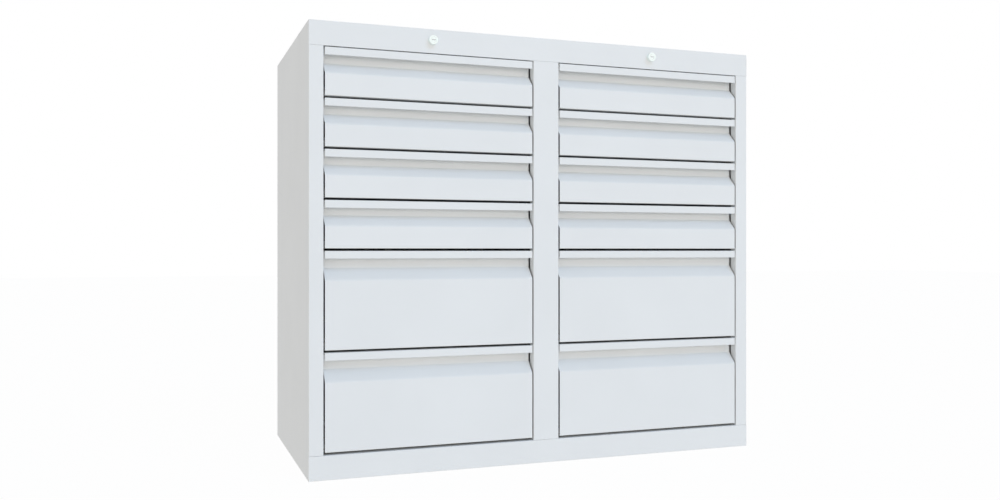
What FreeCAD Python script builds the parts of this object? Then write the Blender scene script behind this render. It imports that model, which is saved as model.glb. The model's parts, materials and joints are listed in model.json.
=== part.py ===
"""Steel drawer cabinet: a folded sheet-metal carcass with two columns of drawers.

Each column has four shallow drawers over two deep ones, on full-extension rails, and a lock in
the header. The lock turns a long rod, whose crank at the back lifts a bar with a hook for every
drawer.

Millimetres. X runs to the right, -Y is the front, Z is up. The origin is on the floor, under
the middle of the carcass.
"""
import FreeCAD, Part
import math
import os

V = FreeCAD.Vector

# Carcass
WIDTH = 1000.0
DEPTH = 500.0
HEIGHT = 900.0
SHEET = 1.0
BEND = 0.75              # mid-line radius of a fold that shows
SHARP = 0                # radius of a tight fold inside the cabinet
STILE = 28.75            # width of the side stiles
CENTRE_STILE = 57.5
RETURN = 20.0            # depth of the fold behind a stile or the header
RETURN_LIP = 10.0        # upturn at the end of that fold
FOOT = 30.0              # depth of the fold under the plinth
PLINTH = 48.7            # height of the front of the base
HEADER = 48.7            # height of the front of the top
SEAM = 0.3               # hairline between a stile and the header or plinth
REAR_LIP = 15.0          # folds round the back panel
FLANGE_INSET = 5.0       # clear of what stands at the ends of a side's top and bottom folds
FIT = 0.1                # clearance between pieces that lie against each other
PARTITION_FLANGE = 20.0
POST_WIDTH = 40.0
POST_FOOT = 10.0
POST_INSET = 65.0        # from the front or the rear to the middle of a post

# Drawers: pitch, height of the box, and depths of the grip below the top of the front
SHALLOW = {"pitch": 100.0, "box": 72.0, "grip_wall": 29.7, "slope_foot": 51.2}
DEEP = {"pitch": 200.0, "box": 168.0, "grip_wall": 34.2, "slope_foot": 58.2}
DRAWERS = [SHALLOW] * 4 + [DEEP] * 2   # from the top down
SIDE_GAP = 2.85          # between a drawer front and a stile
TOP_GAP = 0.7            # from the top line of a drawer's space to its front
BOTTOM_GAP = 4.1         # from the bottom line of a drawer's space to its front
LIP = 15.2               # height of the grip's lip
HEM = 9.0                # height of the sheet folded back behind the lip
HEM_GAP = 0.2
GRIP_DEPTH = 22.0        # from the front plane to the grip's back wall
GRIP_BEND = 2.5          # mid-line radius between the grip's wall and its slope
SLOPE_BEND = 6.0         # and between the slope and the flat face
FOOT_LIP = 14.0          # upturn of the front's foot, against the box
BOX_LIFT = 8.0           # underside of a drawer box above the bottom line of its space
BOX_HEM = 6.0            # fold along the top of a box's sides
BOX_REAR = 222.0

# Rails: depths count from the posts that carry them, heights from their middle
RAIL_STACK = 12.7        # from the posts to the drawer box
RAIL_SHEET = 1.2
RAIL_PLAY = 0.3          # running clearance between nested rails
RAIL_HEIGHT = 45.0
RAIL_LIFT = 40.0         # middle of the rails above the bottom line of a drawer's space
RAIL_FRONT = -224.0
RAIL_REAR = 222.0
MIDDLE_SHORTER = 6.0
FIXED_DEPTH = 9.5
MIDDLE_WEB = 2.8
RAIL_LIP = 2.3           # lips that hook the rails together

# Locks
LOCK_Z = 877.0
HEAD_DIAMETER = 19.0
HEAD_PROUD = 9.0
HEAD_CHAMFER = 1.2
BODY_DIAMETER = 16.0
BODY_LENGTH = 28.0
BARREL_DIAMETER = 11.0
BARREL_INSET = 0.4       # face of the barrel behind the face of the head
BARREL_END = 32.0        # behind the front plane
KEYWAY = (8.0, 1.2, 10.0)      # width, height and depth
NUT_SIDES = 6
NUT_CORNER = 12.7        # from the middle to a corner
NUT_THICKNESS = 5.0
RUNNING = 0.05           # radial clearance of a turning piece
ROD_DIAMETER = 8.0
CRANK_RADIUS = 8.0
CRANK_REST = 45.0        # degrees of the pin below level, with the lock open
CRANK_SHEET = 3.0
CRANK_WIDTH = 10.0
CRANK_END = 5.0          # of the arm, past the rod's axis and the pin
CRANK_GAP = 3.0          # between the crank and the bar
PIN_DIAMETER = 4.0
PIN_PLAY = 0.5           # round the pin in the bar's slot
PIN_END = 1.0            # of the pin, behind the bar
BRACKET_Y = 206.0        # middle of the bracket's upright
BRACKET_DROP = 14.0      # below the rod
BRACKET_FOOT = 20.0
BAR_WIDTH = 30.0
BAR_SHEET = 2.5
BAR_FRONT = 242.2
BAR_CLEAR = 20.0         # foot of the bar above the floor of the cabinet
BAR_HEAD = 8.0           # top of the bar above the rod's axis
BAR_PLAY = 0.3           # round the bar in its guides
CATCH_LIFT = 62.0        # top of a drawer's catch above the bottom line of its space
CATCH_DROP = 10.0
CATCH_REACH = 14.0
CATCH_WIDTH = 30.0
HOOK_FREE = 4.0          # between a lowered hook and the catch that passes over it
HOOK_LIP = 9.0
HOOK_WIDTH = 16.0
HOOK_SHEET = 1.5
HOOK_Y = 228.75
GUIDE_TAB = 12.0
GUIDE_HEIGHT = 20.0
GUIDE_LIFTS = (150.0, 720.0)   # middle of each guide above the floor of the cabinet

# Places worked out from the dimensions
HALF = SHEET / 2
FRONT = -DEPTH / 2
REAR = DEPTH / 2
SIDE = WIDTH / 2
UNDER_TOP = HEIGHT - SHEET
HEADER_Z = HEIGHT - HEADER
STACK = sum(drawer["pitch"] for drawer in DRAWERS)
STACK_LOW = (PLINTH + HEADER_Z - STACK) / 2    # the drawers' spaces lie midway in the opening
STILE_LOW = PLINTH + SEAM
STILE_HIGH = HEADER_Z - SEAM
INNER_SIDE = SIDE - SHEET - FIT
OPENING = (WIDTH - 2 * STILE - CENTRE_STILE) / 2
BACK_Y = REAR - 2 * SHEET              # inner face of the back panel
GRIP_BACK = FRONT + GRIP_DEPTH         # front face of the grip's back wall
BOX_FRONT = GRIP_BACK + SHEET          # the box is welded behind the grip
FIXED_HALF = RAIL_HEIGHT / 2
MIDDLE_HALF = FIXED_HALF - RAIL_SHEET - RAIL_PLAY
MIDDLE_DEPTH = FIXED_DEPTH - RAIL_SHEET - RAIL_PLAY
RUNNER_HALF = MIDDLE_HALF - RAIL_SHEET - RAIL_PLAY
RUNNER_START = MIDDLE_WEB + RAIL_SHEET + RAIL_PLAY
CRANK_Y = BAR_FRONT - CRANK_GAP - CRANK_SHEET
PIN_REACH = CRANK_RADIUS * math.cos(math.radians(CRANK_REST))
PIN_DROP = CRANK_RADIUS * math.sin(math.radians(CRANK_REST))
SIGNS = {"left": -1, "right": 1}
COLUMN_X = {side: sign * (CENTRE_STILE + OPENING) / 2 for side, sign in SIGNS.items()}
TINY = 1e-6


# Folded sheet

def side_plane(a, b):
    """A point of a side view: a is Y, b is Z."""
    return V(0, a, b)


def plan_plane(a, b):
    """A point of a plan: a is X, b is Y."""
    return V(a, b, 0)


def front_plane(a, b):
    """A point of a front view: a is X, b is Z."""
    return V(a, 0, b)


def heading(start, end):
    return (end - start).normalize()


def left_of(direction):
    return V(-direction.y, direction.x, 0)


def face_edges(points, bends, offset, place):
    """Lines and bends along one face of a folded sheet, offset to the left of its mid-line."""
    edges = []

    def line(a, b):
        if (b - a).Length > TINY:
            edges.append(Part.LineSegment(place(a.x, a.y), place(b.x, b.y)).toShape())

    start = points[0] + left_of(heading(points[0], points[1])) * offset
    for before, corner, after, bend in zip(points, points[1:], points[2:], bends):
        arriving = heading(before, corner)
        leaving = heading(corner, after)
        normal = left_of(arriving)
        next_normal = left_of(leaving)
        if bend == SHARP:
            mitre = corner + (normal + next_normal) * (offset / (1 + normal.dot(next_normal)))
            line(start, mitre)
            start = mitre
            continue
        turn = math.atan2(arriving.x * leaving.y - arriving.y * leaving.x, arriving.dot(leaving))
        hand = math.copysign(1, turn)
        reach = bend * math.tan(abs(turn) / 2)
        bend_start = corner - arriving * reach
        centre = bend_start + normal * (hand * bend)
        a = bend_start + normal * offset
        middle = centre + heading(centre, corner) * (bend - hand * offset)
        b = corner + leaving * reach + next_normal * offset
        line(start, a)
        arc = Part.Arc(place(a.x, a.y), place(middle.x, middle.y), place(b.x, b.y))
        edges.append(arc.toShape())
        start = b
    line(start, points[-1] + left_of(heading(points[-2], points[-1])) * offset)
    return edges


def sheet_section(path, place, sheet, bends):
    """Cross-section of a sheet whose mid-line is the path, with a bend at every corner."""
    points = [V(a, b, 0) for a, b in path]
    left = face_edges(points, bends, sheet / 2, place)
    right = face_edges(points, bends, -sheet / 2, place)
    ends = []
    for end in (0, -1):
        a = left[end].Vertexes[end].Point
        b = right[end].Vertexes[end].Point
        ends.append(Part.LineSegment(a, b).toShape())
    return Part.Face(Part.Wire(Part.sortEdges(left + right + ends)[0]))


def folded(path, place, low, high, sheet=SHEET, bend=BEND, bends=None):
    """A folded sheet: its section in one plane, extruded from low to high across that plane."""
    section = sheet_section(path, place, sheet, bends or [bend] * (len(path) - 2))
    normal = place(1, 0).cross(place(0, 1))
    across = V(abs(normal.x), abs(normal.y), abs(normal.z))
    section.translate(across * low)
    return section.extrude(across * (high - low))


# Plain pieces

def block(x, y, z):
    """A flat piece given by its two ends along each axis."""
    spans = [sorted(pair) for pair in (x, y, z)]
    sizes = [high - low for low, high in spans]
    return Part.makeBox(*sizes, V(*[low for low, high in spans]))


def round_bar(x, z, diameter, y_low, y_high):
    """A round bar along Y."""
    return Part.makeCylinder(diameter / 2, y_high - y_low, V(x, y_low, z), V(0, 1, 0))


def joined(first, *others):
    """One solid of pieces that are folded from, or welded to, the first."""
    return first.fuse(list(others)).removeSplitter()


def mirrored(shape):
    """The same piece on the other side of the cabinet."""
    return shape.mirror(V(0, 0, 0), V(1, 0, 0))


def save(name, *solids):
    """Writes one node: a single solid, or a group of like ones."""
    shape = solids[0] if len(solids) == 1 else Part.makeCompound(list(solids))
    for solid in shape.Solids:
        if not solid.isValid() or solid.Volume <= 0:
            raise ValueError(f"{name} holds a bad solid")
    shape.exportStep(os.path.join("parts", name + ".step"))
    print(f"{name}: {len(shape.Solids)} solid(s), {shape.Volume / 1000:.1f} cm3")


# Carcass

def side_panel():
    """Left side: one sheet with the stile folded at its front and a lip at its back."""
    wall = -SIDE + HALF
    stile_edge = -SIDE + STILE - HALF
    skin = FRONT + HALF
    rear_fold = [(-SIDE + REAR_LIP, REAR - HALF), (wall, REAR - HALF)]
    stile_fold = [(wall, skin), (stile_edge, skin), (stile_edge, FRONT + RETURN)]
    middle = folded(rear_fold + stile_fold, plan_plane, STILE_LOW, STILE_HIGH)
    plain = rear_fold + [(wall, FRONT + SHEET)]
    low = folded(plain, plan_plane, 0, STILE_LOW)
    high = folded(plain, plan_plane, STILE_HIGH, UNDER_TOP)
    header_fold_room = block(
        (-SIDE, -SIDE + SHEET), (FRONT, FRONT + HALF + BEND), (HEIGHT - HALF - BEND, HEIGHT))
    flange_x = (wall, -SIDE + REAR_LIP)
    flange_y = (FRONT + FOOT + FLANGE_INSET, BACK_Y - FLANGE_INSET)
    foot = block(flange_x, flange_y, (0, SHEET))
    shoulder = block(flange_x, flange_y, (UNDER_TOP - SHEET, UNDER_TOP))
    return joined(middle, low, high.cut(header_fold_room), foot, shoulder)


def top_panel():
    """Top sheet, folded down at the front into the header, with holes for the two locks."""
    skin = FRONT + HALF
    sheet_z = HEIGHT - HALF
    cover = folded([(REAR, sheet_z), (skin, sheet_z), (skin, HEADER_Z)], side_plane, -SIDE, SIDE)
    return_z = HEADER_Z + HALF
    return_y = FRONT + RETURN - HALF
    header_return = folded(
        [(skin, return_z), (return_y, return_z), (return_y, HEADER_Z + RETURN_LIP)],
        side_plane, -INNER_SIDE, INNER_SIDE)
    lip_end = SIDE - REAR_LIP - FIT
    lip = block((-lip_end, lip_end), (REAR - SHEET, REAR), (HEIGHT - REAR_LIP, sheet_z))
    top = joined(cover, header_return, lip)
    for x in COLUMN_X.values():
        hole = round_bar(x, LOCK_Z, BODY_DIAMETER + 2 * FIT, FRONT - SHEET, FRONT + 2 * SHEET)
        top = top.cut(hole)
    return top


def base_panel():
    """Floor of the cabinet, folded down at the front into the plinth and under it as a foot."""
    floor = PLINTH - HALF
    skin = FRONT + HALF
    rear = BACK_Y - HALF - FIT
    foot_y = FRONT + FOOT - HALF
    fold = folded(
        [(rear, PLINTH - REAR_LIP), (rear, floor), (skin, floor), (skin, HALF),
         (foot_y, HALF), (foot_y, RETURN_LIP)],
        side_plane, -INNER_SIDE, INNER_SIDE)
    ends = [block((sign * (INNER_SIDE - SHEET), sign * SIDE), (FRONT, FRONT + SHEET), (0, PLINTH))
            for sign in SIGNS.values()]
    return joined(fold, *ends)


def back_panel():
    """Flat sheet that lies inside the rear lips of the sides and the top."""
    edge = SIDE - HALF - BEND - FIT
    low = SHEET + FIT
    return block((-edge, edge), (BACK_Y, BACK_Y + SHEET), (low, HEIGHT - low))


def centre_stile():
    """Channel between the columns, open to the back."""
    edge = CENTRE_STILE / 2 - HALF
    skin = FRONT + HALF
    end = FRONT + RETURN
    return folded(
        [(-edge, end), (-edge, skin), (edge, skin), (edge, end)], plan_plane, STILE_LOW, STILE_HIGH)


def centre_partition():
    """Sheet from the centre stile to the back panel, with a flange on each."""
    front_y = FRONT + SHEET + FIT + HALF
    rear_y = BACK_Y - FIT - HALF
    sheet = folded(
        [(PARTITION_FLANGE, front_y), (0, front_y), (0, rear_y), (PARTITION_FLANGE, rear_y)],
        plan_plane, PLINTH, UNDER_TOP, bend=SHARP)
    header_room = block(
        (-PARTITION_FLANGE, PARTITION_FLANGE), (FRONT, FRONT + RETURN + FIT), (HEADER_Z - FIT, HEIGHT))
    return sheet.cut(header_room)


def rail_post(wall, face, y):
    """Hat section with its feet on a wall, which brings rails out to the edge of a stile."""
    near = y - POST_WIDTH / 2
    far = y + POST_WIDTH / 2
    return folded(
        [(wall, near - POST_FOOT), (wall, near), (face, near),
         (face, far), (wall, far), (wall, far + POST_FOOT)],
        plan_plane, PLINTH, UNDER_TOP - SHEET, bend=SHARP)


# Drawers, drawn about the middle of their column; low is the bottom line of a drawer's space

def drawer_front(drawer, low):
    """Folded front: lip with a hem, grip, slope, flat face and a foot; the grip and foot meet the box."""
    edge = OPENING / 2 - SIDE_GAP
    top = low + drawer["pitch"] - TOP_GAP
    bottom = low + BOTTOM_GAP + HALF
    skin = FRONT + HALF
    hem = skin + SHEET + HEM_GAP
    lip_foot = top - LIP + HALF
    wall = GRIP_BACK + HALF
    slope_top = top - drawer["grip_wall"]
    slope_foot = top - drawer["slope_foot"]
    lip = [(hem, lip_foot + HEM), (hem, lip_foot), (skin, lip_foot), (skin, top - HALF)]
    grip = [(wall, top - HALF), (wall, slope_top), (skin, slope_foot)]
    foot = [(skin, bottom), (wall, bottom), (wall, bottom + FOOT_LIP)]
    bends = [SHARP] * 2 + [BEND, SHARP, GRIP_BEND, SLOPE_BEND, BEND, SHARP]
    return folded(lip + grip + foot, side_plane, -edge, edge, bends=bends)


def drawer_box(drawer, low):
    """Folded tray with its runners welded to the sides and the lock's catch to the back."""
    edge = OPENING / 2 - RAIL_STACK
    bottom = low + BOX_LIFT
    top = bottom + drawer["box"]
    side = edge - HALF
    tray = folded(
        [(-side + BOX_HEM, top - HALF), (-side, top - HALF), (-side, bottom + HALF),
         (side, bottom + HALF), (side, top - HALF), (side - BOX_HEM, top - HALF)],
        front_plane, BOX_FRONT, BOX_REAR, bend=SHARP)
    end_x = (-side, side)
    end_z = (bottom + HALF, top - HALF)
    front_wall = block(end_x, (BOX_FRONT, BOX_FRONT + SHEET), end_z)
    back_wall = block(end_x, (BOX_REAR - SHEET, BOX_REAR), end_z)
    runners = [runner(low, sign) for sign in SIGNS.values()]
    return joined(tray, front_wall, back_wall, catch(low), *runners)


def catch(low):
    """Hook behind a drawer box, which the lifted lock bar holds back."""
    top = low + CATCH_LIFT
    sheet_z = top - HALF
    end = BOX_REAR + CATCH_REACH - HALF
    return folded(
        [(BOX_REAR - HALF, sheet_z), (end, sheet_z), (end, top - CATCH_DROP)],
        side_plane, -CATCH_WIDTH / 2, CATCH_WIDTH / 2, bend=SHARP)


# Rails: three nested channels that hook into each other by their lips

def rail(low, sign, upper_half, y_span):
    """One channel on a side of the column.

    upper_half holds (depth from the posts, height above the middle) points, from the tip of the
    upper lip to the web, and the lower half mirrors them.
    """
    posts = sign * OPENING / 2
    middle = low + RAIL_LIFT
    upper = [(posts - sign * depth, middle + height) for depth, height in upper_half]
    lower = [(posts - sign * depth, middle - height) for depth, height in reversed(upper_half)]
    return folded(upper + lower, front_plane, *y_span, sheet=RAIL_SHEET, bend=SHARP)


def lipped_channel(low, sign, web_start, lip_end, half_height, y_span):
    """Channel whose web is towards the posts and whose lips turn in."""
    thin = RAIL_SHEET / 2
    web = web_start + thin
    lip = lip_end - thin
    flange = half_height - thin
    tip = half_height - RAIL_SHEET - RAIL_LIP
    return rail(low, sign, [(lip, tip), (lip, flange), (web, flange)], y_span)


def cabinet_rail(low, sign):
    """Rail fixed to a front and a rear post."""
    return lipped_channel(low, sign, 0, FIXED_DEPTH, FIXED_HALF, (RAIL_FRONT, RAIL_REAR))


def middle_rail(low, sign):
    """Rail between the cabinet rail and the runner, which travels half as far as the drawer."""
    y_span = (RAIL_FRONT, RAIL_REAR - MIDDLE_SHORTER)
    return lipped_channel(low, sign, MIDDLE_WEB, MIDDLE_DEPTH, MIDDLE_HALF, y_span)


def runner(low, sign):
    """Rail on a drawer box: its lips turn out, behind those of the middle rail."""
    thin = RAIL_SHEET / 2
    lip = RUNNER_START + thin
    web = RAIL_STACK - thin
    flange = RUNNER_HALF - RAIL_LIP - thin
    upper_half = [(lip, RUNNER_HALF), (lip, flange), (web, flange)]
    return rail(low, sign, upper_half, (BOX_FRONT + SHEET, BOX_REAR))


# Locks, drawn about the middle of their column

def lock_housing():
    """Turned housing: a chamfered head outside the header and a round body behind it."""
    head = HEAD_DIAMETER / 2
    body = BODY_DIAMETER / 2
    bore = BARREL_DIAMETER / 2 + RUNNING
    face = FRONT - HEAD_PROUD
    end = FRONT + BODY_LENGTH
    profile = [(bore, face), (head - HEAD_CHAMFER, face), (head, face + HEAD_CHAMFER), (head, FRONT),
               (body, FRONT), (body, end), (bore, end)]
    outline = [V(radius, y, LOCK_Z) for radius, y in profile]
    section = Part.Face(Part.makePolygon(outline + outline[:1]))
    return section.revolve(V(0, 0, LOCK_Z), V(0, 1, 0), 360)


def lock_barrel():
    """Turning plug with a level keyway."""
    face = FRONT - HEAD_PROUD + BARREL_INSET
    width, height, depth = KEYWAY
    plug = round_bar(0, LOCK_Z, BARREL_DIAMETER, face, FRONT + BARREL_END)
    keyway_z = (LOCK_Z - height / 2, LOCK_Z + height / 2)
    return plug.cut(block((-width / 2, width / 2), (face - SHEET, face + depth), keyway_z))


def lock_nut():
    """Hexagon nut that clamps the housing to the header."""
    y = FRONT + SHEET
    corners = []
    for i in range(NUT_SIDES):
        angle = 2 * math.pi * i / NUT_SIDES
        corners.append(V(NUT_CORNER * math.cos(angle), y, LOCK_Z + NUT_CORNER * math.sin(angle)))
    hexagon = Part.Face(Part.makePolygon(corners + corners[:1]))
    bore = round_bar(0, LOCK_Z, BODY_DIAMETER + 2 * RUNNING, FRONT, y + 2 * NUT_THICKNESS)
    return hexagon.extrude(V(0, NUT_THICKNESS, 0)).cut(bore)


def lock_rod():
    """Long rod from the barrel to the crank at the back."""
    return round_bar(0, LOCK_Z, ROD_DIAMETER, FRONT + BARREL_END, CRANK_Y)


def lock_crank():
    """Flat arm on the rear end of the rod, with the pin that lifts the lock bar."""
    half_width = CRANK_WIDTH / 2
    arm = block(
        (-CRANK_RADIUS - CRANK_END, CRANK_END), (CRANK_Y, CRANK_Y + CRANK_SHEET),
        (LOCK_Z - half_width, LOCK_Z + half_width))
    arm.rotate(V(0, CRANK_Y, LOCK_Z), V(0, 1, 0), -CRANK_REST)
    pin_z = LOCK_Z - PIN_DROP
    pin = round_bar(-PIN_REACH, pin_z, PIN_DIAMETER, CRANK_Y, BAR_FRONT + BAR_SHEET + PIN_END)
    return joined(arm, pin)


def lock_rod_bracket():
    """Angle under the top panel that carries the rear end of the rod."""
    sheet_z = UNDER_TOP - HALF
    half_width = BAR_WIDTH / 2
    angle = folded(
        [(BRACKET_Y, LOCK_Z - BRACKET_DROP), (BRACKET_Y, sheet_z), (BRACKET_Y - BRACKET_FOOT, sheet_z)],
        side_plane, -half_width, half_width, bend=SHARP)
    bore = round_bar(0, LOCK_Z, ROD_DIAMETER + 2 * RUNNING, BRACKET_Y - SHEET, BRACKET_Y + SHEET)
    return angle.cut(bore)


def lock_bar():
    """Upright bar with a hook for every drawer and a slot for the crank's pin."""
    half_width = BAR_WIDTH / 2
    back = BAR_FRONT + BAR_SHEET
    strip_z = (PLINTH + BAR_CLEAR, LOCK_Z + BAR_HEAD)
    strip = block((-half_width, half_width), (BAR_FRONT, back), strip_z)
    hooks = []
    for _, low in drawer_spaces():
        lip_top = low + CATCH_LIFT - CATCH_DROP - HOOK_FREE
        foot = lip_top - HOOK_LIP
        hooks.append(folded(
            [(BAR_FRONT + HALF, foot), (HOOK_Y, foot), (HOOK_Y, lip_top)],
            side_plane, -HOOK_WIDTH / 2, HOOK_WIDTH / 2, sheet=HOOK_SHEET, bend=SHARP))
    room = PIN_DIAMETER / 2 + PIN_PLAY
    pin_z = LOCK_Z - PIN_DROP
    slot_x = (-CRANK_RADIUS - room, -PIN_REACH + room)
    slot = block(slot_x, (BAR_FRONT - SHEET, back + SHEET), (pin_z - room, pin_z + room))
    return joined(strip, *hooks).cut(slot)


def lock_bar_guide(z):
    """Strap on the back panel that the lock bar slides behind."""
    side = BAR_WIDTH / 2 + BAR_PLAY + HALF
    foot = BACK_Y - HALF
    strap = BAR_FRONT - BAR_PLAY - HALF
    return folded(
        [(-side - GUIDE_TAB, foot), (-side, foot), (-side, strap),
         (side, strap), (side, foot), (side + GUIDE_TAB, foot)],
        plan_plane, z - GUIDE_HEIGHT / 2, z + GUIDE_HEIGHT / 2, bend=SHARP)


# Assembly

def drawer_spaces():
    """Each drawer with the bottom line of its space, from the top drawer down."""
    low = STACK_LOW + STACK
    spaces = []
    for drawer in DRAWERS:
        low -= drawer["pitch"]
        spaces.append((drawer, low))
    return spaces


def save_carcass():
    left = side_panel()
    save("left_side_panel", left)
    save("right_side_panel", mirrored(left))
    save("top_panel", top_panel())
    save("base_panel", base_panel())
    save("back_panel", back_panel())
    save("centre_stile", centre_stile())
    save("centre_partition", centre_partition())
    side_post = (-SIDE + SHEET + HALF, -SIDE + STILE - HALF)
    centre_post = (-SHEET, -CENTRE_STILE / 2 + HALF)
    posts = [rail_post(*post, y) for post in (side_post, centre_post)
             for y in (FRONT + POST_INSET, REAR - POST_INSET)]
    save("rail_posts", *posts, *[mirrored(post) for post in posts])


def save_column(side, place):
    cabinet_rails = []
    for number, (drawer, low) in enumerate(drawer_spaces(), start=1):
        name = f"{side}_drawer_{number}"
        middle_rails = [middle_rail(low, sign).translated(place) for sign in SIGNS.values()]
        save(f"{name}_front", drawer_front(drawer, low).translated(place))
        save(f"{name}_box", drawer_box(drawer, low).translated(place))
        save(f"{name}_middle_rails", *middle_rails)
        cabinet_rails += [cabinet_rail(low, sign).translated(place) for sign in SIGNS.values()]
    save(f"{side}_cabinet_rails", *cabinet_rails)


def save_lock(side, place):
    save(f"{side}_lock_barrel", lock_barrel().translated(place))
    save(f"{side}_lock_rod", lock_rod().translated(place))
    save(f"{side}_lock_crank", lock_crank().translated(place))
    save(f"{side}_lock_bar", lock_bar().translated(place))


def save_lock_fittings(places):
    guides = [lock_bar_guide(PLINTH + lift) for lift in GUIDE_LIFTS]
    save("lock_housings", *[lock_housing().translated(place) for place in places])
    save("lock_nuts", *[lock_nut().translated(place) for place in places])
    save("lock_rod_brackets", *[lock_rod_bracket().translated(place) for place in places])
    save("lock_bar_guides", *[guide.translated(place) for place in places for guide in guides])


os.makedirs("parts", exist_ok=True)
save_carcass()
for column, column_x in COLUMN_X.items():
    save_column(column, V(column_x, 0, 0))
    save_lock(column, V(column_x, 0, 0))
save_lock_fittings([V(column_x, 0, 0) for column_x in COLUMN_X.values()])
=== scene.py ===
# %% [markdown]
# # A steel drawer cabinet
# This lesson dresses a drawer cabinet of folded sheet steel: two columns of drawers, a grip folded
# into every front, and a small round lock over each column. The shapes and the joints come from the
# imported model, which is loaded as a fixed frame. What is left for Blender is what the eye sees: the
# paint, the plated metal, the small turned pieces, the light and the camera.

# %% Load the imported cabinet
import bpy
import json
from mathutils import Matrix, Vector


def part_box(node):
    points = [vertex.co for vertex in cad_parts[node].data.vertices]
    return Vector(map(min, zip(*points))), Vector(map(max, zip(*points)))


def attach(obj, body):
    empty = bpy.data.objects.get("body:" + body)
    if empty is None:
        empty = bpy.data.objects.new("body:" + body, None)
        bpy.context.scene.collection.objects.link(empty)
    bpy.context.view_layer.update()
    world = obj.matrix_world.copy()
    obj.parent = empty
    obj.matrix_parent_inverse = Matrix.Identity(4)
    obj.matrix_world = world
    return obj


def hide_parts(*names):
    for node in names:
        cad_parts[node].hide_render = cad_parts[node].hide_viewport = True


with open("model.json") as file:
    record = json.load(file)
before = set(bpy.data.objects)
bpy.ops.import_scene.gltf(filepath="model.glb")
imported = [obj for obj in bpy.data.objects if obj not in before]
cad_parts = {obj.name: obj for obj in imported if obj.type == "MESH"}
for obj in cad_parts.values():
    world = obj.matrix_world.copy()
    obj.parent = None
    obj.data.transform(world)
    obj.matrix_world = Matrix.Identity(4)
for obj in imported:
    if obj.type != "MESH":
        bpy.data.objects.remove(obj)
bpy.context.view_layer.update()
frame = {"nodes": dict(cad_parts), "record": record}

# %% [markdown]
# ## The camera
# The picture was taken from the left, level with the middle of the cabinet, so upright edges stay
# upright and the top is seen edge-on. A camera could be placed by trial, but the long straight edges
# of a box give its place exactly: fitting them leaves one focal length, one turn and one place.
# Those are the values below, and no lens shift is needed.

# %% Place the camera
import bpy
import math

MM = 0.001                                # metres
PICTURE_WIDTH = 1000                      # pixels
FOCAL_LENGTH = 947.4                      # the same pixels
SENSOR = 36.0                             # millimetres of film for the picture's width
CAMERA_LEFT = 281 * MM                    # to the left of the front left edge
CAMERA_AWAY = 1857 * MM                   # in front of the drawers
CAMERA_HEIGHT = 451 * MM
CAMERA_LEVEL = math.radians(90)           # a new camera looks straight down
CAMERA_TURN = math.radians(20.02)         # to the right

scene = bpy.context.scene
front_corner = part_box("left_side_panel")[0]

camera = bpy.data.objects.new("camera", bpy.data.cameras.new("camera"))
scene.collection.objects.link(camera)
camera.data.sensor_width = SENSOR
camera.data.lens = FOCAL_LENGTH / PICTURE_WIDTH * SENSOR
camera.location = (front_corner.x - CAMERA_LEFT, front_corner.y - CAMERA_AWAY, CAMERA_HEIGHT)
camera.rotation_euler = (CAMERA_LEVEL, 0, -CAMERA_TURN)
scene.camera = camera
print("camera at", [round(value, 3) for value in camera.location], "lens", round(camera.data.lens, 2))

# %% [markdown]
# ## Nodes in code
# Every finish and light in this lesson is a small net of nodes. In the Shader Editor each one is a few
# clicks, and in code the same few lines would come back again and again, so a helper adds a node and
# sets its inputs. The second helper uses the Light Path node, which tells what kind of ray is asking:
# rays from the camera, and those in mirrors and glass, look at things, and all others carry light.

# %% Helpers for node trees
def add_node(tree, kind, **inputs):
    """Adds a shader node and sets its inputs by name, with spaces written as underscores."""
    node = tree.nodes.new(kind)
    for name, value in inputs.items():
        node.inputs[name.replace("_", " ")].default_value = value
    return node


def white_rays(tree):
    """One for rays that should see the white background, nothing for those that carry light."""
    path = add_node(tree, "ShaderNodeLightPath")
    total = path.outputs["Is Camera Ray"]
    for kind in ("Is Glossy Ray", "Is Transmission Ray"):
        either = add_node(tree, "ShaderNodeMath")
        either.operation = "MAXIMUM"
        tree.links.new(total, either.inputs[0])
        tree.links.new(path.outputs[kind], either.inputs[1])
        total = either.outputs[0]
    return total


print("node helpers ready")

# %% [markdown]
# ## White background
# The cabinet stands in a bright, even studio. A white background could be made by flooding the
# scene with lamps, but then the pale paint would burn out too. So the rays that look at things see
# plain white, while the rays that carry light see the softer grey of the studio's walls.

# %% Background
WHITE = (1, 1, 1, 1)
ROOM_LIGHT = (0.60, 0.60, 0.60, 1)        # what the walls of the studio give back

world = bpy.data.worlds.new("studio")
scene.world = world
world.use_nodes = True
sky = world.node_tree
room = sky.nodes["Background"]
room.inputs["Color"].default_value = ROOM_LIGHT
shown = add_node(sky, "ShaderNodeMixShader")
sky.links.new(white_rays(sky), shown.inputs[0])
sky.links.new(room.outputs[0], shown.inputs[1])
sky.links.new(add_node(sky, "ShaderNodeBackground", Color=WHITE).outputs[0], shown.inputs[2])
sky.links.new(shown.outputs[0], sky.nodes["World Output"].inputs["Surface"])
print("white studio, room light", ROOM_LIGHT[:3])

# %% [markdown]
# ## Floor
# The floor is white paper on a table. The background is white too, so the floor could be left out, but
# then the cabinet would float: only a shadow at its foot sets it down. One large face is enough, with
# its far edge lost in the white.

# %% Floor
FLOOR_SIZE = 30.0                         # metres
FLOOR_DROP = 0.2 * MM                     # so that it isn't in one plane with the cabinet's foot

half = FLOOR_SIZE / 2
corners = [(-half, -half, -FLOOR_DROP), (half, -half, -FLOOR_DROP),
           (half, half, -FLOOR_DROP), (-half, half, -FLOOR_DROP)]
floor_mesh = bpy.data.meshes.new("floor")
floor_mesh.from_pydata(corners, [], [(0, 1, 2, 3)])
floor = bpy.data.objects.new("floor", floor_mesh)
scene.collection.objects.link(floor)
print("floor of", FLOOR_SIZE, "m")

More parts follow.
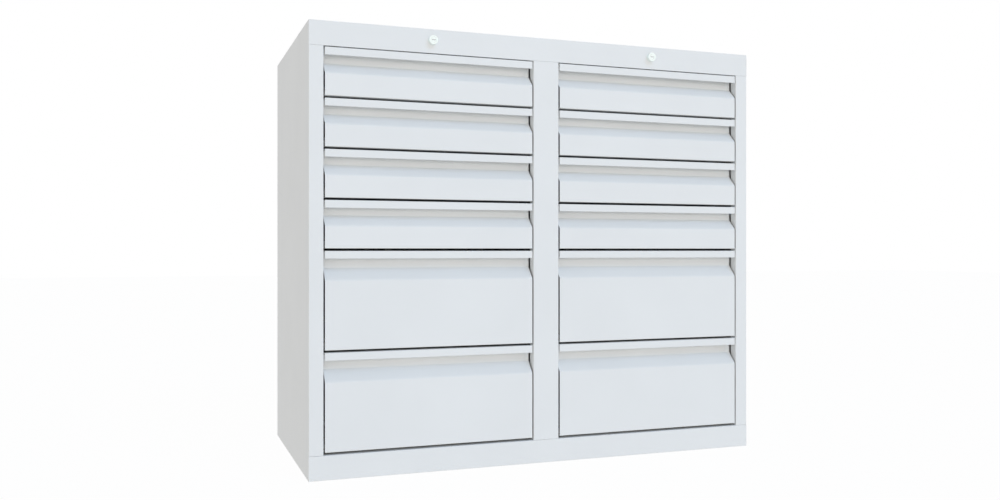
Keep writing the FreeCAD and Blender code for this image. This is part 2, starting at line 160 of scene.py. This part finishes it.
# %% [markdown]
# ## Paper on a lit table
# The table is lit from below, so the floor also sends light up under the lips of the grips. Paper alone
# would give less light close to the cabinet, where its own shadow falls, and the lower drawers would
# look darker than the upper ones. So the cabinet gets an even glow from the table, while the camera
# sees the paper's own shading, mixed with plain white so that the shadow stays faint.

# %% Paper and glow
FLOOR_PAPER = (0.90, 0.90, 0.90, 1)
FLOOR_WHITE = 0.97                        # share of the paper that stays white in the shadow
FLOOR_GLOW = (0.785, 0.785, 0.785, 1)     # what the table gives to the cabinet

floor_material = bpy.data.materials.new("studio_floor")
floor_material.use_nodes = True
tree = floor_material.node_tree
tree.nodes.clear()
paper = add_node(tree, "ShaderNodeMixShader", Fac=FLOOR_WHITE)
tree.links.new(add_node(tree, "ShaderNodeBsdfDiffuse", Color=FLOOR_PAPER).outputs[0], paper.inputs[1])
tree.links.new(add_node(tree, "ShaderNodeEmission", Color=WHITE).outputs[0], paper.inputs[2])
table = add_node(tree, "ShaderNodeMixShader")
tree.links.new(white_rays(tree), table.inputs[0])
tree.links.new(add_node(tree, "ShaderNodeEmission", Color=FLOOR_GLOW).outputs[0], table.inputs[1])
tree.links.new(paper.outputs[0], table.inputs[2])
tree.links.new(table.outputs[0], add_node(tree, "ShaderNodeOutputMaterial").inputs["Surface"])
floor_mesh.materials.append(floor_material)
print("floor glows with", FLOOR_GLOW[:3])

# %% [markdown]
# ## Lamps
# The main lamp stands high in front and a little to the right, so the fronts are the brightest,
# the left side stays quieter, and each lock throws a soft shadow down to the left. It can't reach the
# walls behind the lips of the grips, so a second, wider lamp fills them from straight ahead. The main
# lamp is cool and the other a little warm: that tells the slopes, which face up, from the walls over
# them. Sun lamps with a wide disc act like large softboxes far away: they light both columns alike,
# which a near lamp would not. Mirrors don't see them, because their discs would burn a spot into each
# bright lock. The Standard view shows a colour about as it is written.

# %% Lamps
from mathutils import Vector

KEY_TOWARDS = (0.40, -0.80, 0.75)         # from the cabinet to the lamp
KEY_WIDTH = math.radians(30)
KEY_STRENGTH = 0.79
KEY_COLOUR = (0.37, 0.64, 1.0)
FILL_TOWARDS = (-0.10, -1.00, 0.06)
FILL_WIDTH = math.radians(32)
FILL_STRENGTH = 0.825
FILL_COLOUR = (1.0, 0.955, 0.90)


def softbox(name, towards, width, strength, colour):
    """A far, wide lamp in the direction given, with its width as an angle of sky."""
    lamp = bpy.data.objects.new(name, bpy.data.lights.new(name, "SUN"))
    scene.collection.objects.link(lamp)
    lamp.data.energy = strength
    lamp.data.color = colour
    lamp.data.angle = width
    lamp.rotation_euler = Vector(towards).to_track_quat("Z", "Y").to_euler()
    lamp.visible_glossy = False
    print(name, "strength", strength)


softbox("key", KEY_TOWARDS, KEY_WIDTH, KEY_STRENGTH, KEY_COLOUR)
softbox("fill", FILL_TOWARDS, FILL_WIDTH, FILL_STRENGTH, FILL_COLOUR)
scene.view_settings.view_transform = "Standard"

# %% [markdown]
# ## Finishes from noise
# No real surface has one flat colour and one even gloss. Painted pictures of a surface could show
# that, but they have to be wrapped round every piece and they blur up close. Noise needs no wrapping:
# it fills space, and each piece is simply cut out of it. It is measured in metres, because the pieces'
# own coordinates are metres. One noise can steer a colour, a gloss and a relief at the same time.

# %% Helpers for colour and gloss
NOISE_LOW = 0.3                           # most values of a noise are between these
NOISE_HIGH = 0.7


def new_finish(name):
    """A material with its tree, its shader and the place of a point in metres."""
    material = bpy.data.materials.new(name)
    material.use_nodes = True
    tree = material.node_tree
    place = add_node(tree, "ShaderNodeTexCoord").outputs["Object"]
    return material, tree, tree.nodes["Principled BSDF"], place


def noise(tree, place, scale, detail=2.0):
    texture = add_node(tree, "ShaderNodeTexNoise", Scale=scale, Detail=detail)
    tree.links.new(place, texture.inputs["Vector"])
    return texture.outputs[0]


def tinted(colour, share):
    """The colour made lighter or darker by a share, with full opacity."""
    return [channel * (1 + share) for channel in colour] + [1]


def varied(tree, value, colour, share):
    """The colour, darker by a share where a noise is low and lighter by it where the noise is high."""
    node = add_node(tree, "ShaderNodeValToRGB")
    dark, light = node.color_ramp.elements
    dark.position = NOISE_LOW
    dark.color = tinted(colour, -share)
    light.position = NOISE_HIGH
    light.color = tinted(colour, share)
    tree.links.new(value, node.inputs[0])
    return node.outputs["Color"]


def spread(tree, value, low, high):
    """Stretches a noise to the range from low to high."""
    node = add_node(tree, "ShaderNodeMapRange", From_Min=NOISE_LOW, From_Max=NOISE_HIGH,
                    To_Min=low, To_Max=high)
    tree.links.new(value, node.inputs["Value"])
    return node.outputs[0]


print("helpers for colour and gloss ready")

# %% [markdown]
# ## Soft edges and fine relief
# Paint and plating round every cut edge of a sheet. Bevelling the thin sheets would need thousands of
# tiny faces, so the Bevel node rounds the shading instead and leaves the mesh as it is. Bump nodes
# then add relief of hundredths of a millimetre, one on top of another.

# %% Helpers for relief
def rounded_edge(tree, radius):
    return add_node(tree, "ShaderNodeBevel", Radius=radius).outputs[0]


def bump(tree, height, distance, below):
    """Bump of a height in metres, on top of a rounded edge or another bump."""
    node = add_node(tree, "ShaderNodeBump", Distance=distance)
    tree.links.new(height, node.inputs["Height"])
    tree.links.new(below, node.inputs["Normal"])
    return node.outputs[0]


print("helpers for relief ready")

# %% [markdown]
# ## Powder coat
# The sheet steel is sprayed with a dry powder that melts into a skin in an oven. Up close that skin
# has a faint orange-peel ripple, a finer grain on top, a gloss that is never quite even and a colour
# that varies by a hair. One flat colour would look like plastic, so the drift of the colour, the ripple
# and the grain each have their own noise, and the gloss follows the ripple.

# %% Powder coat
PAINT = (0.790, 0.800, 0.795)
PAINT_DRIFT = 0.012                       # share by which the colour drifts
DRIFT_PER_METRE = 7
PEEL_PER_METRE = 260
PEEL_HEIGHT = 0.04 * MM
GRAIN_PER_METRE = 1400
GRAIN_HEIGHT = 0.008 * MM
PAINT_ROUGHNESS = (0.50, 0.62)
PAINT_GLOSS = 0.22                        # a clear varnish has 0.5, so this is a matt paint
PAINT_EDGE = 0.35 * MM


def powder_coat(name):
    material, tree, shader, place = new_finish(name)
    drift = noise(tree, place, DRIFT_PER_METRE)
    peel = noise(tree, place, PEEL_PER_METRE)
    grain = noise(tree, place, GRAIN_PER_METRE)
    tree.links.new(varied(tree, drift, PAINT, PAINT_DRIFT), shader.inputs["Base Color"])
    tree.links.new(spread(tree, peel, *PAINT_ROUGHNESS), shader.inputs["Roughness"])
    shader.inputs["Specular IOR Level"].default_value = PAINT_GLOSS
    ripple = bump(tree, peel, PEEL_HEIGHT, below=rounded_edge(tree, PAINT_EDGE))
    tree.links.new(bump(tree, grain, GRAIN_HEIGHT, below=ripple), shader.inputs["Normal"])
    return material


finishes = {slot: powder_coat(slot + "_powder_coat") for slot in ("carcass_paint", "drawer_paint")}
print("painted finishes:", sorted(finishes))

# %% [markdown]
# ## Zinc-plated rails
# The rails are rolled from zinc-plated strip. Rolling leaves long faint streaks along the strip. They
# could be modelled as grooves, but they are far finer than any face, so the noise for them is
# stretched along the rail, which runs from front to back.

# %% Rolled zinc
ZINC = (0.60, 0.61, 0.63)
ZINC_CONTRAST = 0.10
ZINC_ROUGHNESS = (0.26, 0.42)
ZINC_EDGE = 0.2 * MM
STREAKS_PER_METRE = (1500, 12, 1500)      # many across the strip, few along it
STREAK_HEIGHT = 0.004 * MM


def rolled_zinc(name):
    material, tree, shader, place = new_finish(name)
    stretched = add_node(tree, "ShaderNodeMapping", Scale=STREAKS_PER_METRE)
    tree.links.new(place, stretched.inputs["Vector"])
    streaks = noise(tree, stretched.outputs[0], scale=1.0)
    tree.links.new(varied(tree, streaks, ZINC, ZINC_CONTRAST), shader.inputs["Base Color"])
    tree.links.new(spread(tree, streaks, *ZINC_ROUGHNESS), shader.inputs["Roughness"])
    edge = rounded_edge(tree, ZINC_EDGE)
    tree.links.new(bump(tree, streaks, STREAK_HEIGHT, below=edge), shader.inputs["Normal"])
    shader.inputs["Metallic"].default_value = 1
    return material


finishes["rail_zinc"] = rolled_zinc("rail_zinc_rolled")
print("rail finish:", finishes["rail_zinc"].name)

# %% [markdown]
# ## Zinc-plated lock gear
# The rods, cranks and bars of the locks are plated too, but as small pieces in a turning barrel, which
# leaves them duller and blotchy. A noise with more detail gives the blotches, and the paint's fine
# grain serves again as the relief.

# %% Barrel zinc
DULL_ZINC = (0.52, 0.53, 0.54)
DULL_ROUGHNESS = (0.34, 0.50)
BLOTCHES_PER_METRE = 160


def barrel_zinc(name):
    material, tree, shader, place = new_finish(name)
    blotches = noise(tree, place, BLOTCHES_PER_METRE, detail=4.0)
    grain = noise(tree, place, GRAIN_PER_METRE)
    tree.links.new(varied(tree, blotches, DULL_ZINC, ZINC_CONTRAST), shader.inputs["Base Color"])
    tree.links.new(spread(tree, blotches, *DULL_ROUGHNESS), shader.inputs["Roughness"])
    edge = rounded_edge(tree, ZINC_EDGE)
    tree.links.new(bump(tree, grain, GRAIN_HEIGHT, below=edge), shader.inputs["Normal"])
    shader.inputs["Metallic"].default_value = 1
    return material


finishes["lock_steel"] = barrel_zinc("lock_steel_zinc")
print("lock gear finish:", finishes["lock_steel"].name)

# %% [markdown]
# ## Bright plate for the locks
# A lock's head is turned on a lathe and then plated bright. The lathe leaves rings so fine that they
# only soften the mirror. They could be cut into the mesh, but a wave of rings in the bump is enough,
# as long as it is centred on the lock's own axis, where each lock piece has its origin.

# %% Bright plate
BRIGHT = (0.90, 0.970, 0.955)
BRIGHT_DRIFT = 0.015
BRIGHT_ROUGHNESS = (0.08, 0.15)
BRIGHT_EDGE = 0.1 * MM
RINGS_PER_METRE = 900
RING_WAVER = 0.6                          # how far the rings stray from true circles
RING_HEIGHT = 0.002 * MM


def bright_plate(name):
    material, tree, shader, place = new_finish(name)
    rings = add_node(tree, "ShaderNodeTexWave", Scale=RINGS_PER_METRE, Distortion=RING_WAVER)
    rings.wave_type = "RINGS"
    rings.rings_direction = "Y"
    tree.links.new(place, rings.inputs["Vector"])
    smears = noise(tree, place, BLOTCHES_PER_METRE)
    tree.links.new(varied(tree, smears, BRIGHT, BRIGHT_DRIFT), shader.inputs["Base Color"])
    tree.links.new(spread(tree, smears, *BRIGHT_ROUGHNESS), shader.inputs["Roughness"])
    edge = rounded_edge(tree, BRIGHT_EDGE)
    tree.links.new(bump(tree, rings.outputs[0], RING_HEIGHT, below=edge), shader.inputs["Normal"])
    shader.inputs["Metallic"].default_value = 1
    return material


finishes["lock_chrome"] = bright_plate("lock_bright_plate")
print("lock finish:", finishes["lock_chrome"].name)

# %% [markdown]
# ## Dress the frame
# The sheets, boxes and rails are whole as they come: on the real cabinet they are plain folded steel,
# and the finish is all that they lack. It could be given to each piece by hand, but every piece of the
# frame names its finish in the record, so a loop hands them all out.

# %% Give every piece of the frame its finish
for subpart in frame["record"]["subparts"]:
    piece = frame["nodes"][subpart["node"]]
    piece.data.materials.clear()
    piece.data.materials.append(finishes[subpart["material_slot"]])
print("dressed", len(frame["nodes"]), "pieces")

# %% [markdown]
# ## Rings of turned pieces
# Lock heads, plugs and rivets all come off a lathe, where every cut is a circle about one axis. So a
# turned piece is described by rings: a radius, a place along the axis and the angles of its points.

# %% Helpers for rings
def circle_angles(sides):
    return [2 * math.pi * i / sides for i in range(sides)]


def quarter_angles(steps):
    """From nothing to a right angle, for rounded edges and domes."""
    return [math.pi / 2 * i / steps for i in range(steps + 1)]


def ring(radius, y, angles):
    """A loop about the Y axis, from millimetres."""
    return [Vector((radius * math.cos(a), y, radius * math.sin(a))) * MM for a in angles]


print("ring helpers ready")

# %% [markdown]
# ## A skin over loops
# One helper makes all the turned pieces: it lays a skin over a row of loops, as a loft does. A spun
# profile would give the heads and rivets, but not the plug, where the inner loops follow a keyway and
# the outer ones a circle. With loops, both are the same job. Edges that turn by more than a set angle
# are marked sharp, and all the others are shaded smooth.

# %% Loft helper
import bmesh

SHARP_TURN = math.radians(32)


def lofted(name, loops, finish, places, capped=True):
    """One piece with a skin from loop to loop at every place; its ends are capped or joined up."""
    shape = bmesh.new()
    for place in places:
        rows = [[shape.verts.new(place + point) for point in loop] for loop in loops]
        pairs = list(zip(rows, rows[1:]))
        if capped:
            shape.faces.new(rows[0])
            shape.faces.new(rows[-1])
        else:
            pairs.append((rows[-1], rows[0]))
        for near, far in pairs:
            for i in range(len(near)):
                shape.faces.new((near[i - 1], near[i], far[i], far[i - 1]))
    bmesh.ops.recalc_face_normals(shape, faces=shape.faces)
    for face in shape.faces:
        face.smooth = True
    for edge in shape.edges:
        edge.smooth = edge.calc_face_angle(0) < SHARP_TURN
    mesh = bpy.data.meshes.new(name)
    shape.to_mesh(mesh)
    shape.free()
    mesh.materials.append(finish)
    piece = bpy.data.objects.new(name, mesh)
    scene.collection.objects.link(piece)
    return piece


print("loft helper ready")

# %% [markdown]
# ## Thread of the locks
# Behind the header a lock goes on as a threaded body for its nut. Plain grooves would be quicker, but
# they don't climb, and a nut would never move on them. The thread is a helix: every point of a ring is
# drawn in by how far it is round the turn, so a ring and the next one differ by a part of a turn.

# %% Thread
BODY_RADIUS = 8.0                         # millimetres, like all sizes of turned pieces
BODY_END = 28.0                           # behind the header
THREAD_PITCH = 1.5
THREAD_DEPTH = 0.55
STEPS_PER_TURN = 4
PLAIN_STEPS = 2                           # left without thread at both ends of the body
head_angles = circle_angles(64)


def thread_ring(y):
    """A ring of a V thread: its points go in and out once per pitch."""
    loop = []
    for a in head_angles:
        turn = (y / THREAD_PITCH + a / (2 * math.pi)) % 1
        radius = BODY_RADIUS - THREAD_DEPTH * (1 - abs(2 * turn - 1))
        loop += ring(radius, y, [a])
    return loop


body_steps = round(BODY_END / THREAD_PITCH * STEPS_PER_TURN)
thread_loops = [thread_ring(step * THREAD_PITCH / STEPS_PER_TURN)
                for step in range(PLAIN_STEPS, body_steps - PLAIN_STEPS)]
print("thread of", len(thread_loops), "rings")

# %% [markdown]
# ## Lock heads
# The head of a cylinder lock is a turned disc that stands out from the header. Its face is slightly
# crowned, its rim is rounded so that it doesn't catch a sleeve, and a fine groove sets it off from
# the sheet. Both ends of the row of loops lie at the end of the body, so the skin closes there.

# %% Lock heads
HEAD_RADIUS = 9.5
HEAD_FACE = -9.0                          # in front of the header
BORE_RADIUS = 5.55
BORE_EDGE = 0.4                           # behind the face, where the bore starts to open
CROWN = ((5.7, 0.15), (6.6, 0.08), (7.8, 0.0))      # radius, and how far behind the highest ring
RIM_ROUND = 1.0
RIM_STEPS = 6
GROOVE_DEPTH = 0.3
GROOVE_WIDTH = 0.6
BODY_CHAMFER = 1.0


def lock_head_loops():
    face = [(BORE_RADIUS, BODY_END), (BORE_RADIUS, HEAD_FACE + BORE_EDGE)]
    face += [(radius, HEAD_FACE + depth) for radius, depth in CROWN]
    rim = [(HEAD_RADIUS - RIM_ROUND * (1 - math.sin(turn)), HEAD_FACE + RIM_ROUND * (1 - math.cos(turn)))
           for turn in quarter_angles(RIM_STEPS)]
    groove = HEAD_RADIUS - GROOVE_DEPTH
    foot = [(HEAD_RADIUS, -GROOVE_WIDTH - GROOVE_DEPTH), (groove, -GROOVE_WIDTH),
            (groove, 0), (BODY_RADIUS, 0)]
    head_rings = [ring(radius, y, head_angles) for radius, y in face + rim + foot]
    return head_rings + thread_loops + [ring(BODY_RADIUS - BODY_CHAMFER, BODY_END, head_angles)]


header_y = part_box("top_panel")[0].y
lock_axes = {}
for side in ("left", "right"):
    low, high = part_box(f"{side}_lock_barrel")
    lock_axes[side] = Vector(((low.x + high.x) / 2, header_y, (low.z + high.z) / 2))
    head = lofted(f"{side}_lock_head", lock_head_loops(), finishes["lock_chrome"], [Vector()], capped=False)
    head.location = lock_axes[side]
    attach(head, "carcass")
    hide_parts("lock_housings")
    print(head.name, len(head.data.polygons), "faces")

# %% [markdown]
# ## Keyway
# The keyway is a level slot with a ward, a ridge that only the right key passes. The slot could be cut
# with a Boolean, but that leaves ragged edges. Here its outline is a loop like any other. Its points
# lie on rays from the plug's axis, a few degrees apart, so the same rays also give a round rim.

# %% Keyway
KEYWAY_CORNERS = [(4.0, -0.4), (4.0, 0.4), (3.8, 0.6), (1.6, 0.6), (0.75, 0.3), (-0.75, 0.3), (-1.6, 0.6),
                  (-3.8, 0.6), (-4.0, 0.4), (-4.0, -0.4), (-3.8, -0.6), (3.8, -0.6)]
RAY_STEP = math.radians(4)                # most between two rays


def keyway_outline():
    """Points along the keyway, as (right, up), where rays from the axis meet its edges."""
    points = []
    corners = [Vector(corner) for corner in KEYWAY_CORNERS]
    for start, end in zip(corners, corners[1:] + corners[:1]):
        first = math.atan2(start.y, start.x)
        turn = (math.atan2(end.y, end.x) - first) % (2 * math.pi)
        count = math.ceil(turn / RAY_STEP)
        for i in range(count):
            ray = Vector((math.cos(first + turn * i / count), math.sin(first + turn * i / count)))
            points.append(start.lerp(end, start.cross(ray) / (start.cross(ray) - end.cross(ray))))
    return points


outline = keyway_outline()
plug_angles = [math.atan2(up, right) for right, up in outline]


def keyway_loop(y, wider):
    return [Vector((right + math.copysign(wider, right), y, up + math.copysign(wider, up))) * MM
            for right, up in outline]


print("keyway of", len(outline), "points")

# %% [markdown]
# ## Lock plugs
# The plug is what the key turns. Its skin starts on a sprung shutter, which closes the slot a
# millimetre in and keeps dust out, so the slot looks faint and not black. From there it comes up the
# walls of the keyway, rolls over a soft edge, and opens out to the circle of the plug, point by point
# along the same rays. The walls and the shutter aren't polished, so they get the dull finish of the
# lock gear.

# %% Lock plugs
PLUG_RADIUS = 5.5
PLUG_FACE = -8.6                          # in front of the header
PLUG_END = 32.0                           # behind it
SHUTTER = PLUG_FACE + 1.0
SLOT_ROLL = ((0.25, 0.0), (0.05, 0.04), (0.0, 0.12))          # behind the face, and how much wider
RIM_ROLL = ((0.2, 0.0), (0.06, 0.06), (0.0, 0.2))             # in from the rim, and behind the face
KEYWAY_REACH = 4.5                        # no part of it is farther from the axis
KEYWAY_EDGE = 0.1                         # the slot's soft edge, which is bright like the face

plug_loops = [keyway_loop(SHUTTER, 0.0)]
plug_loops += [keyway_loop(PLUG_FACE + depth, wider) for depth, wider in SLOT_ROLL]
plug_loops += [ring(PLUG_RADIUS - inward, PLUG_FACE + depth, plug_angles) for inward, depth in RIM_ROLL]
plug_loops += [ring(PLUG_RADIUS, PLUG_END, plug_angles)]
for side in ("left", "right"):
    plug = lofted(f"{side}_lock_plug", plug_loops, finishes["lock_chrome"], [Vector()])
    plug.data.materials.append(finishes["lock_steel"])
    for face in plug.data.polygons:
        inside_slot = math.hypot(face.center.x, face.center.z) < KEYWAY_REACH * MM
        behind_face = PLUG_FACE + KEYWAY_EDGE < face.center.y / MM < SHUTTER + KEYWAY_EDGE
        face.material_index = int(inside_slot and behind_face)
    plug.location = lock_axes[side]
    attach(plug, f"{side}_lock")
    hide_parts(f"{side}_lock_barrel")
    print(plug.name, len(plug.data.polygons), "faces")

# %% [markdown]
# ## Rivets of the back panel
# The guides of the lock bars are riveted to the back panel through their tabs. A rivet has a low
# domed head outside, a shank through both sheets, and a flatter head that was squeezed on inside.
# All eight are alike, so they are one piece: the same loops at eight places.

# %% Guide rivets
RIVET_HEAD = 3.2                          # radius
RIVET_DOME = 0.85                         # height of the outer head
DOME_STEPS = 6
RIVET_SHANK = 1.6                         # radius
INNER_HEAD = ((2.8, 0.0), (2.6, 0.96), (2.0, 1.2))            # radius and height
TAB_SHEET = 1.0                           # thickness of a guide's tab
TAB_MIDDLE = 22.3                         # from the middle of a guide to the middle of a tab
GUIDE_MIDDLE = 10.0                       # from the end of a guide to its middle
panel_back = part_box("back_panel")[1].y
guide_low, guide_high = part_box("lock_bar_guides")
grip = (panel_back - guide_high.y) / MM + TAB_SHEET

dome = [(RIVET_HEAD * math.cos(turn), RIVET_DOME * math.sin(turn))
        for turn in reversed(quarter_angles(DOME_STEPS)[:-1])]
shank = [(RIVET_SHANK, 0), (RIVET_SHANK, -grip)]
inside = [(radius, -grip - height) for radius, height in INNER_HEAD]
rivet_loops = [ring(radius, y, circle_angles(24)) for radius, y in dome + shank + inside]

guide_heights = [guide_low.z + GUIDE_MIDDLE * MM, guide_high.z - GUIDE_MIDDLE * MM]
rivet_places = [Vector((axis.x + sign * TAB_MIDDLE * MM, panel_back, z))
                for axis in lock_axes.values() for sign in (-1, 1) for z in guide_heights]
rivets = lofted("guide_rivets", rivet_loops, finishes["lock_steel"], rivet_places)
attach(rivets, "carcass")
print("rivets:", len(rivet_places), "grip", round(grip, 2), "mm")

# %% [markdown]
# ## Size of the dressed cabinet
# Dressing a cabinet doesn't make it larger: the turned pieces stay inside the box that the packed
# cabinet fills.

# %% Finish
import json
